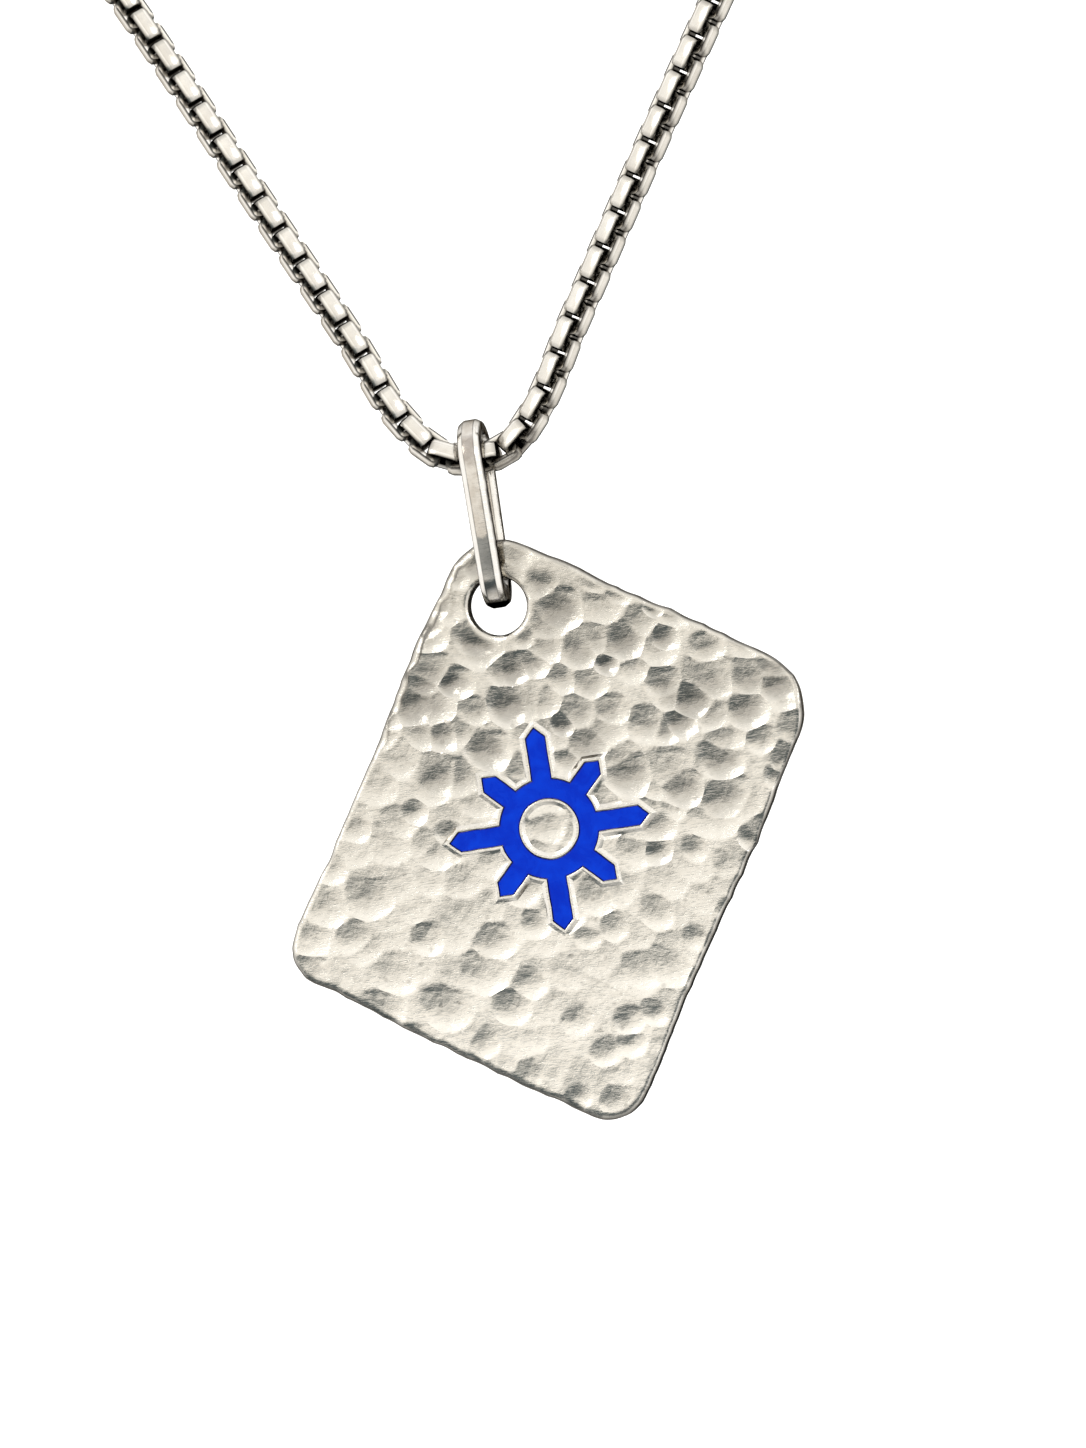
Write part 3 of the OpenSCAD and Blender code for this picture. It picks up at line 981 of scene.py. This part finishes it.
class PENDANT_OT_stage(bpy.types.Operator):
    """Sets up the pale floor, the soft light and the camera"""

    bl_idname = "pendant.build_stage"
    bl_label = "Stage and camera"

    def execute(self, context):
        settings = context.scene.pendant_stage
        self.camera(context, settings)
        self.floor()
        self.sky(context, settings)
        self.lamps(settings)
        context.scene.view_settings.view_transform = "Standard"
        return {"FINISHED"}

    def camera(self, context, settings):
        turn, roll = settings.camera_turn, settings.camera_roll
        level = Vector((math.cos(turn), math.sin(turn), 0))
        right = math.cos(roll) * level + Vector((0, 0, -math.sin(roll)))
        up = math.sin(roll) * level + Vector((0, 0, math.cos(roll)))
        back = Vector((math.sin(turn), -math.cos(turn), 0))
        target = Vector((VIEW_X, HOLE.y, VIEW_Z))
        data = bpy.data.cameras.new("camera")
        data.sensor_fit = "VERTICAL"
        data.sensor_width = data.sensor_height = SENSOR
        data.lens = SENSOR * settings.camera_distance / VIEW_TALL
        data.clip_start, data.clip_end = 0.01, 20
        camera = bpy.data.objects.new("camera", data)
        context.scene.collection.objects.link(camera)
        pose = Matrix((right, up, back)).transposed().to_4x4()
        pose.translation = target + back * settings.camera_distance
        camera.matrix_world = pose
        context.scene.camera = camera

    def floor(self):
        """A pale sheet that lies under the pendant and curves up far behind it."""
        deselect()
        bpy.ops.mesh.primitive_plane_add(size=1, location=(0, SHEET_MIDDLE, SHEET_LEVEL))
        sweep = bpy.context.object
        sweep.name = "studio_sweep"
        sweep.scale = (SHEET_WIDTH, SHEET_DEPTH, 1)
        bpy.ops.object.transform_apply(location=True, rotation=True, scale=True)
        co = sweep.data.vertices
        back = max(v.co.y for v in co) - 1e-4
        pick(sweep, edges=lambda e: all(co[i].co.y > back for i in e.vertices))
        bpy.ops.mesh.extrude_region_move(TRANSFORM_OT_translate={"value": (0, 0, SHEET_TALL)})
        co = sweep.data.vertices
        pick(sweep, edges=lambda e: all(co[i].co.y > back and co[i].co.z < 0 for i in e.vertices))
        bpy.ops.mesh.bevel(offset=SHEET_CURVE, segments=24)
        make_active(sweep)
        bpy.ops.object.shade_smooth()
        material, tree, shader = new_material("sweep_paper")
        cloud = clouds(tree, object_place(tree), 3.0, 2.0)
        tone = mix_colour(tree, cloud, (0.9, 0.9, 0.9, 1), (0.93, 0.93, 0.93, 1))
        tree.links.new(tone, shader.inputs["Base Color"])
        shader.inputs["Roughness"].default_value = 0.9
        shader.inputs["Emission Color"].default_value = (1, 1, 1, 1)
        shader.inputs["Emission Strength"].default_value = 0.45
        sweep.data.materials.append(material)
        sweep.visible_glossy = False
        deselect()

    def sky(self, context, settings):
        """Warm white ahead and above, dark grey below. What the camera sees of it is white."""
        world = bpy.data.worlds.new("soft_light")
        context.scene.world = world
        world.use_nodes = True
        tree = world.node_tree
        tree.nodes.clear()
        out = tree.nodes.new("ShaderNodeOutputWorld")
        where = add(tree, "TexCoord").outputs["Generated"]
        parts = add(tree, "SeparateXYZ", {"Vector": where})
        drift = clouds(tree, where, 6.0, 6.0, 0.62)
        tilted = plus(tree, parts.outputs["Z"],
                      remap(tree, parts.outputs["X"], -0.45, 0.25, 0.1, -0.06))
        height = plus(tree, tilted,
                      remap(tree, drift, 0.2, 0.8, -0.08, 0.08))
        level = remap(tree, height, -1, 1)
        ahead = self.bands(tree, level, SKY_AHEAD)
        behind = self.bands(tree, level, SKY_BEHIND)
        aside = unsigned(tree, plus(tree, parts.outputs["X"], 0.17))
        away = larger(tree, remap(tree, parts.outputs["Y"], -0.1, 0.3),
                      remap(tree, aside, 0.5, 0.75))
        # Far behind it is as ahead, so that the back looks like the front
        away = times(tree, away, remap(tree, parts.outputs["Y"], 0.8, 0.62))
        tone = mix_colour(tree, away, ahead, behind)
        warm = remap(tree, clouds(tree, where, 2.2, 1.0), 0.5, 0.8, 0.0, 0.35)
        tone = mix_colour(tree, warm, tone, (0.70, 0.63, 0.55, 1))
        # A little less light straight ahead, so bevels and side walls stand out
        gain = remap(tree, aside, 0.05, 0.65, 1.03, 1.10)
        gain = add(tree, "CombineXYZ", {"X": gain, "Y": gain, "Z": gain}).outputs[0]
        tone = mix_colour(tree, 1.0, tone, gain, blend="MULTIPLY")
        light = add(tree, "Background", {"Color": tone, "Strength": settings.sky})
        white = add(tree, "Background", {"Color": (0.98, 0.98, 0.98, 1), "Strength": 1.0})
        seen = add(tree, "LightPath").outputs["Is Camera Ray"]
        both = add(tree, "MixShader", {0: seen, 1: light.outputs[0], 2: white.outputs[0]})
        tree.links.new(both.outputs[0], out.inputs["Surface"])

    def bands(self, tree, level, stops):
        """A ramp of colours by height."""
        ramp = add(tree, "ValToRGB", {"Fac": level})
        elements = ramp.color_ramp.elements
        while len(elements) < len(stops):
            elements.new(0.5)
        for element, (height, colour) in zip(elements, stops):
            element.position = (height + 1) / 2
            element.color = (*colour, 1)
        return ramp.outputs["Color"]

    def lamps(self, settings):
        for name, place, size, part, colour in LAMPS:
            data = bpy.data.lights.new(name, "AREA")
            data.size, data.energy, data.color = size, settings.key * part, colour
            lamp = bpy.data.objects.new(name, data)
            bpy.context.scene.collection.objects.link(lamp)
            lamp.location = place
            aim = Vector(LAMP_AIM) - Vector(place)
            lamp.rotation_euler = aim.to_track_quat("-Z", "Y").to_euler()


class PENDANT_OT_tag(bpy.types.Operator):
    """Builds the hammered tag. Its points lie along its ridges, so code webs its faces"""

    bl_idname = "pendant.build_tag"
    bl_label = "Hammered tag"

    def execute(self, context):
        settings = context.scene.pendant_tag
        tag = tag_mesh(settings)
        close_normals(tag)
        metal = silver("tag_silver", settings.silver, (0.68, 0.65, 0.59), 0.15,
                       (2600.0, 1300.0, 700.0), tarnish=0.35, relief=0.008, pitted=0.3,
                       shade_heights=(-0.198, -0.160))
        dress(tag, metal, "tag", "tag", angle=17)
        return {"FINISHED"}


class PENDANT_OT_enamel(bpy.types.Operator):
    """Builds the enamel sun, flush in its pocket"""

    bl_idname = "pendant.build_enamel"
    bl_label = "Enamel sun"

    def execute(self, context):
        settings = context.scene.pendant_enamel
        half = TAG_T / 2
        sunk = settings.sunk / MM
        shell = Shell()
        loops = [sun_loop(-0.14), island_loop(-0.14)]
        points = scatter(loops, 0.3)
        every = np.concatenate([*loops, points])
        index = shell.add(every, half - sunk + ENAMEL_SWELL.at(every))
        shell.faces += index[web(loops, points)].tolist()
        # The outer rings carry painted shade for the enamel's edges
        steps = [(grow, half - sunk - drop, shade) for grow, drop, shade in (
            (-0.07, 0.008, 0.4), (-0.02, 0.03, 1.0), (0.0, 0.07, 1.0),
            (0.0, POCKET - ENAMEL_GAP - sunk, 1.0))]
        first = len(loops[0])
        shell.close([shell.walls(index[:first], sun_loop, steps),
                     shell.walls(index[first:first + len(loops[1])], island_loop, steps)], True)
        sun = shell.object("enamel_sun")
        close_normals(sun)
        dress(sun, enamel_blue(settings.blue), "tag", "enamel", angle=40)
        return {"FINISHED"}


class PENDANT_OT_bail(bpy.types.Operator):
    """Builds the bail: a tapered loop of bevelled band"""

    bl_idname = "pendant.build_bail"
    bl_label = "Bail"

    def execute(self, context):
        settings = context.scene.pendant_bail
        half = settings.width / 2
        top, bottom = HANG.z - BAIL_TOP, HANG.z - BAIL_FOOT
        # Each ring: place across, radius at the top, radius at the bottom, drop of the bottom bend
        rings = [
            (-half, 2.50, 2.00, 0.4), (BEVEL * MM - half, 2.75, 2.25, 0.4),
            (half - BEVEL * MM, 2.75, 2.25, 0.4), (half, 2.50, 2.00, 0.4),
            (half, 1.68, 1.18, 0.0), (0.5 * half, 1.58, 1.08, 0.0), (0, 1.55, 1.05, 0.0),
            (-0.5 * half, 1.58, 1.08, 0.0), (-half, 1.68, 1.18, 0.0),
        ]
        deselect()
        across, upper, lower, drop = rings[0]
        bpy.ops.mesh.primitive_circle_add(
            vertices=BAIL_SIDES, radius=upper * MM, location=(HANG.x + across, HANG.y, top),
            rotation=(0, math.radians(90), 0))
        bail = context.object
        bail.name = bail.data.name = "bevelled_bail"
        bpy.ops.object.transform_apply(location=True, rotation=True, scale=True)
        self.resize_bend(bail, 0, False, top - 1e-6, top, lower / upper, bottom - drop * MM - top)
        # The band grows ring by ring, and the last ring meets the first
        middle = (top + bottom) / 2
        for before, after in zip(rings, rings[1:] + rings[:1]):
            deselect()
            first = len(bail.data.vertices)
            pick(bail, verts=lambda v: v.index >= first - BAIL_SIDES)
            bpy.ops.mesh.extrude_region_move(
                TRANSFORM_OT_translate={"value": (after[0] - before[0], 0, 0)})
            self.resize_bend(bail, first, True, middle, top, after[1] / before[1])
            self.resize_bend(bail, first, False, middle, bottom - before[3] * MM,
                             after[2] / before[2], (before[3] - after[3]) * MM)
        close_normals(bail)
        bevel = bail.modifiers.new("soft edges", "BEVEL")
        bevel.width, bevel.segments = settings.soft_edge, 2
        bevel.limit_method, bevel.angle_limit = "ANGLE", math.radians(25)
        make_active(bail)
        bpy.ops.object.modifier_apply(modifier=bevel.name)
        metal = silver("bail_silver", settings.silver, (0.66, 0.61, 0.55), 0.12,
                       (900.0, 1500.0, 900.0), tarnish=0.25, relief=0.003)
        self.paint_crease_shade(metal, half)
        dress(bail, metal, "bail", "bail", angle=30)
        return {"FINISHED"}

    def paint_crease_shade(self, metal, half):
        """Painted shade on the band: dark lines along its creases and rims, a darker flat middle,
        darker bands on the front, and black on the back of the lower bend and under its foot.
        """
        tree = metal.node_tree
        where = object_place(tree)
        across = add(tree, "SeparateXYZ", {"Vector": where}).outputs["X"]
        across = unsigned(tree, minus(tree, across, HANG.x))
        off = unsigned(tree, minus(tree, across, half - BEVEL * MM))
        line = remap(tree, off, 0.02 * MM, 0.06 * MM, 0.6, 0.0)
        rim = remap(tree, across, half - 0.11 * MM, half - 0.03 * MM, 0.0, 0.75)
        patches = clouds(tree, where, 1400.0, 2.0)
        line = times(tree, larger(tree, line, rim),
                     remap(tree, patches, 0.3, 0.6, 0.45, 1.0))
        # Where the flat middle of the band ends
        edge = (half - 0.42 * MM, half - 0.38 * MM)
        flat = remap(tree, across, *edge, 0.35, 0.0)
        flat = times(tree, flat, remap(tree, patches, 0.35, 0.6, 0.6, 1.6))
        # Painted shade: the flat middle is darker, and dark lines run along the creases and rims
        paint_over(metal, flat, (0.52, 0.46, 0.39, 1))
        paint_over(metal, line, (0.06, 0.055, 0.05, 1))
        # Bands of painted shade at the top and the foot of the front's flat middle
        parts = add(tree, "SeparateXYZ", {"Vector": where})
        inner = times(tree, remap(tree, across, *edge, 1.0, 0.0),
                      remap(tree, parts.outputs["Y"], HANG.y - 1.0 * MM, HANG.y - 1.3 * MM))
        ragged = plus(tree, parts.outputs["Z"],
                      remap(tree, patches, 0.3, 0.7, -0.25 * MM, 0.25 * MM))
        for start, full, end, clear, strength, colour in BAIL_SHADE_BANDS:
            band = times(tree, remap(tree, ragged, start * MM, full * MM),
                         remap(tree, ragged, clear * MM, end * MM))
            paint_over(metal, times(tree, times(tree, band, inner), strength), colour)
        # Painted shadow: black on the back of the lower bend, behind the tag, and under the foot
        hidden = times(tree,
                       remap(tree, parts.outputs["Y"], HANG.y + 0.3 * MM, HANG.y + 0.9 * MM),
                       remap(tree, parts.outputs["Z"], HOLE.z + 2.6 * MM, HOLE.z + 1.6 * MM))
        under = remap(tree, parts.outputs["Z"], HOLE.z + 0.42 * MM, HOLE.z + 0.26 * MM)
        paint_over(metal, larger(tree, hidden, under), (0.012, 0.011, 0.010, 1))

    def resize_bend(self, bail, first, above, split, centre, factor, move=0.0):
        """Resizes the part of the newest ring above or below split, and moves it up."""
        pick(bail, verts=lambda v: v.index >= first and (v.co.z > split) == above)
        bpy.ops.transform.resize(value=(1, factor, factor),
                                 center_override=(HANG.x, HANG.y, centre))
        bpy.ops.transform.translate(value=(0, 0, move))


def chain_line():
    """The chain's centre line as close points, in metres, and the length up to each."""
    route = [Vector(p) * MM for p in ROUTE]
    spans = [b - a for a, b in zip(route, route[1:])]
    slopes = []
    for i in range(len(route)):
        back = spans[max(i - 1, 0)]
        ahead = spans[min(i, len(spans) - 1)]
        blend = ahead.normalized() * back.length + back.normalized() * ahead.length
        slopes.append(blend / (back.length + ahead.length))
    points = []
    for i, span in enumerate(spans):
        for k in range(40):
            s = k / 40
            points.append(
                (2 * s ** 3 - 3 * s ** 2 + 1) * route[i]
                + (s ** 3 - 2 * s ** 2 + s) * span.length * slopes[i]
                + (3 * s ** 2 - 2 * s ** 3) * route[i + 1]
                + (s ** 3 - s ** 2) * span.length * slopes[i + 1])
    points.append(route[-1])
    line = np.array([tuple(p) for p in points])
    length = np.concatenate([[0], np.cumsum(np.linalg.norm(np.diff(line, axis=0), axis=1))])
    return line, length


class PENDANT_OT_chain(bpy.types.Operator):
    """Builds the rounded box chain: one link, then a copy at each place along the route"""

    bl_idname = "pendant.build_chain"
    bl_label = "Box chain"

    def execute(self, context):
        settings = context.scene.pendant_chain
        link = self.one_link(context, settings)
        line, length = chain_line()
        # The outer links end where the line does, clear of the floors of the clasp's bores
        room = length[-1] - settings.link_length
        count = round(room / settings.pitch) + 1
        if count < 10:
            raise RuntimeError("the chain's route is too short for its links")
        pitch = room / (count - 1)
        shape = np.array([tuple(v.co) for v in link.data.vertices])
        quads = [tuple(p.vertices) for p in link.data.polygons]
        grime_and_painted_light = [d.value for d in link.data.attributes["grime_and_painted_light"].data]
        bpy.data.objects.remove(link)

        def at(s):
            return np.array([np.interp(s, length, line[:, k]) for k in range(3)])

        points, faces = [], []
        y = np.array([0.0, 1.0, 0.0])
        for i in range(count):
            centre_s = settings.link_length / 2 + i * pitch
            ahead = at(centre_s + pitch / 2) - at(centre_s - pitch / 2)
            ahead /= np.linalg.norm(ahead)
            middle = (at(centre_s + pitch / 2) + at(centre_s - pitch / 2)) / 2
            side = np.cross(ahead, y)
            side /= np.linalg.norm(side)
            front = np.cross(ahead, side)
            turn = settings.roll + (math.pi / 2 if i % 2 else 0)
            out = math.cos(turn) * front + math.sin(turn) * side
            right = smooth((middle[0] - HANG.x) / (8 * MM) + 0.5)
            shift = STRAND_SHIFT[0] * (1 - right) + STRAND_SHIFT[1] * right
            middle = middle - side * shift * smooth((-middle[1] / MM - 98) / 8)
            wide = smooth((abs(middle[0]) / MM - 50) / 8)
            middle[0] -= math.copysign(WIDEST_TUCK, middle[0]) * wide
            middle[2] -= LOW_DROP * math.exp(-((middle[0] - HANG.x) / LOW_REACH) ** 2)
            across = np.cross(out, ahead)
            points.append(middle + shape @ np.stack([ahead, across, out]))
            faces += [tuple(v + i * len(shape) for v in quad) for quad in quads]
        chain = mesh_object("box_links", np.concatenate(points), faces)
        add_attribute(chain, "grime_and_painted_light", np.tile(grime_and_painted_light, count), "CORNER")
        metal = silver("chain_silver", (0.87, 0.84, 0.78), (0.54, 0.50, 0.44), 0.15,
                       (500.0, 1500.0, 900.0), tarnish=0.45, relief=0.002, clean=0.60,
                       edge=(0.45, 0.43, 0.41))
        tree = metal.node_tree
        grime_and_painted_light = grime_and_light_of(tree)
        # Painted highlight: the creases are painted in the links' bright silver
        paint_over(metal, remap(tree, grime_and_painted_light, 0.3, 0.6, 1.0, 0.0), rgba(settings.silver))
        # Painted shade: the strip's thin sides are painted dark
        paint_over(metal, remap(tree, grime_and_painted_light, 0.14, 0.29, 0.95, 0.0), (0.045, 0.042, 0.038, 1))
        dress(chain, metal, "necklace", "chain", angle=30)
        return {"FINISHED"}

    def one_link(self, context, settings):
        """A ring of rounded strip. X is along the chain, Y is the strip's width, Z is out."""
        deselect()
        bpy.ops.mesh.primitive_cube_add(size=1, location=(0, 0, 0))
        link = context.object
        link.name = "one_link"
        link.scale = (settings.link_length, settings.plate, settings.width)
        bpy.ops.object.transform_apply(location=True, rotation=True, scale=True)
        co = link.data.vertices

        def lengthwise(edge):
            a, b = (co[i].co for i in edge.vertices)
            return abs(a.x - b.x) < 1e-6 and abs(a.z - b.z) < 1e-6

        pick(link, edges=lengthwise)
        bpy.ops.mesh.bevel(offset=LINK_BEVEL, segments=2, profile=0.5)
        pick(link, faces=lambda f: abs(f.normal.y) > 0.9)
        bpy.ops.mesh.delete(type="FACE")
        edge = settings.plate / 2
        for place in (-LINK_CREASE, LINK_CREASE):
            bpy.ops.mesh.select_all(action="SELECT")
            bpy.ops.mesh.bisect(plane_co=(0, place * settings.plate, 0), plane_no=(0, 1, 0))
        pick(link, verts=lambda v: abs(v.co.y) > 0.9 * edge)
        bpy.ops.transform.resize(value=(1 - 0.5 * LINK_DROP / (settings.link_length / 2), 1,
                                        1 - LINK_DROP / (settings.width / 2)),
                                 center_override=(0, 0, 0))
        make_active(link)
        wall = link.modifiers.new("wall", "SOLIDIFY")
        wall.thickness, wall.offset = settings.wall, -1
        before = len(link.data.vertices)
        bpy.ops.object.modifier_apply(modifier=wall.name)
        # Painted highlights along the creases, dull between them, painted shade at the strip's
        # edges and ends and inside
        grime_and_painted_light = []
        co = link.data.vertices
        for face in link.data.polygons:
            inner = any(i >= before for i in face.vertices)
            middle = max(abs(co[i].co.y) for i in face.vertices) < 0.9 * edge
            for i in face.vertices:
                if inner:
                    shade = DARK if i >= before else SIDE
                elif middle:
                    shade = DULL
                else:
                    shade = DARK if abs(co[i].co.y) > 0.9 * edge else CREASE_HIGHLIGHT
                reach = abs(co[i].co.x) / settings.link_length
                grime_and_painted_light.append(max([shade] + [least for start, least in LINK_END_SHADE if reach > start]))
        add_attribute(link, "grime_and_painted_light", grime_and_painted_light, "CORNER")
        return link


class PENDANT_OT_clasp(bpy.types.Operator):
    """Builds the barrel clasp at the nape"""

    bl_idname = "pendant.build_clasp"
    bl_label = "Barrel clasp"

    def execute(self, context):
        settings = context.scene.pendant_clasp
        length, radius = settings.length, settings.diameter / 2
        deselect()
        bpy.ops.mesh.primitive_cylinder_add(vertices=64, radius=radius, depth=length,
                                            location=(0, 0, 0), rotation=(0, math.radians(90), 0))
        barrel = context.object
        barrel.name = "barrel_clasp"
        bpy.ops.object.transform_apply(location=True, rotation=True, scale=True)
        co = barrel.data.vertices
        pick(barrel, edges=lambda e: abs(co[e.vertices[0]].co.x - co[e.vertices[1]].co.x) < 1e-6)
        bpy.ops.mesh.bevel(offset=0.8 * MM, segments=6, profile=0.5)
        self.bore(barrel, length)
        self.seam(barrel, radius)
        close_normals(barrel)
        metal = silver("clasp_silver", settings.silver, (0.62, 0.58, 0.53), 0.13,
                       (500.0, 1500.0, 900.0), tarnish=0.25, relief=0.002)
        dress(barrel, metal, "necklace", "clasp", angle=30)
        return {"FINISHED"}

    def bore(self, barrel, length):
        """The blind hole in each end, which takes an end of the chain."""
        for sign in (-1, 1):
            deselect()
            bpy.ops.mesh.primitive_cylinder_add(
                vertices=48, radius=MOUTH_R, depth=2 * MOUTH_DEPTH,
                location=(sign * length / 2, 0, 0), rotation=(0, math.radians(90), 0))
            cutter = bpy.context.object
            cut = barrel.modifiers.new("bore", "BOOLEAN")
            cut.operation, cut.object, cut.solver = "DIFFERENCE", cutter, "EXACT"
            make_active(barrel)
            bpy.ops.object.modifier_apply(modifier=cut.name)
            bpy.data.objects.remove(cutter)

    def seam(self, barrel, radius):
        """The fine groove where the barrel's two halves meet."""
        make_active(barrel)
        bpy.ops.object.mode_set(mode="EDIT")
        for place in SEAM_CUTS:
            bpy.ops.mesh.select_all(action="SELECT")
            bpy.ops.mesh.bisect(plane_co=(place * MM, 0, 0), plane_no=(1, 0, 0))
        pick(barrel, verts=lambda v: abs(v.co.x) < 0.06 * MM)
        small = (radius - SEAM_DEPTH) / radius
        bpy.ops.transform.resize(value=(1, small, small), center_override=(0, 0, 0))
        deselect()


class VIEW3D_PT_pendant(bpy.types.Panel):
    """Lists the pendant's pieces and their sizes"""

    bl_label = "Dog tag pendant"
    bl_idname = "VIEW3D_PT_pendant"
    bl_space_type = "VIEW_3D"
    bl_region_type = "UI"
    bl_category = "Pendant"

    def draw(self, context):
        for operator, group, _ in PIECES:
            box = self.layout.box()
            box.operator(operator.bl_idname)
            settings = getattr(context.scene, group)
            for name in settings.bl_rna.properties.keys():
                if name not in {"rna_type", "name"}:
                    box.prop(settings, name)


PIECES = (
    (PENDANT_OT_stage, "pendant_stage", PENDANT_PG_stage),
    (PENDANT_OT_tag, "pendant_tag", PENDANT_PG_tag),
    (PENDANT_OT_enamel, "pendant_enamel", PENDANT_PG_enamel),
    (PENDANT_OT_bail, "pendant_bail", PENDANT_PG_bail),
    (PENDANT_OT_chain, "pendant_chain", PENDANT_PG_chain),
    (PENDANT_OT_clasp, "pendant_clasp", PENDANT_PG_clasp),
)


def register():
    for operator, name, group in PIECES:
        bpy.utils.register_class(group)
        bpy.utils.register_class(operator)
        setattr(bpy.types.Scene, name, PointerProperty(type=group))
    bpy.utils.register_class(VIEW3D_PT_pendant)


def unregister():
    bpy.utils.unregister_class(VIEW3D_PT_pendant)
    for operator, name, group in reversed(PIECES):
        delattr(bpy.types.Scene, name)
        bpy.utils.unregister_class(operator)
        bpy.utils.unregister_class(group)


def main():
    register()
    bpy.ops.pendant.build_stage()
    bpy.ops.pendant.build_tag()
    bpy.ops.pendant.build_enamel()
    bpy.ops.pendant.build_bail()
    bpy.ops.pendant.build_chain()
    bpy.ops.pendant.build_clasp()


if __name__ == "__main__":
    main()
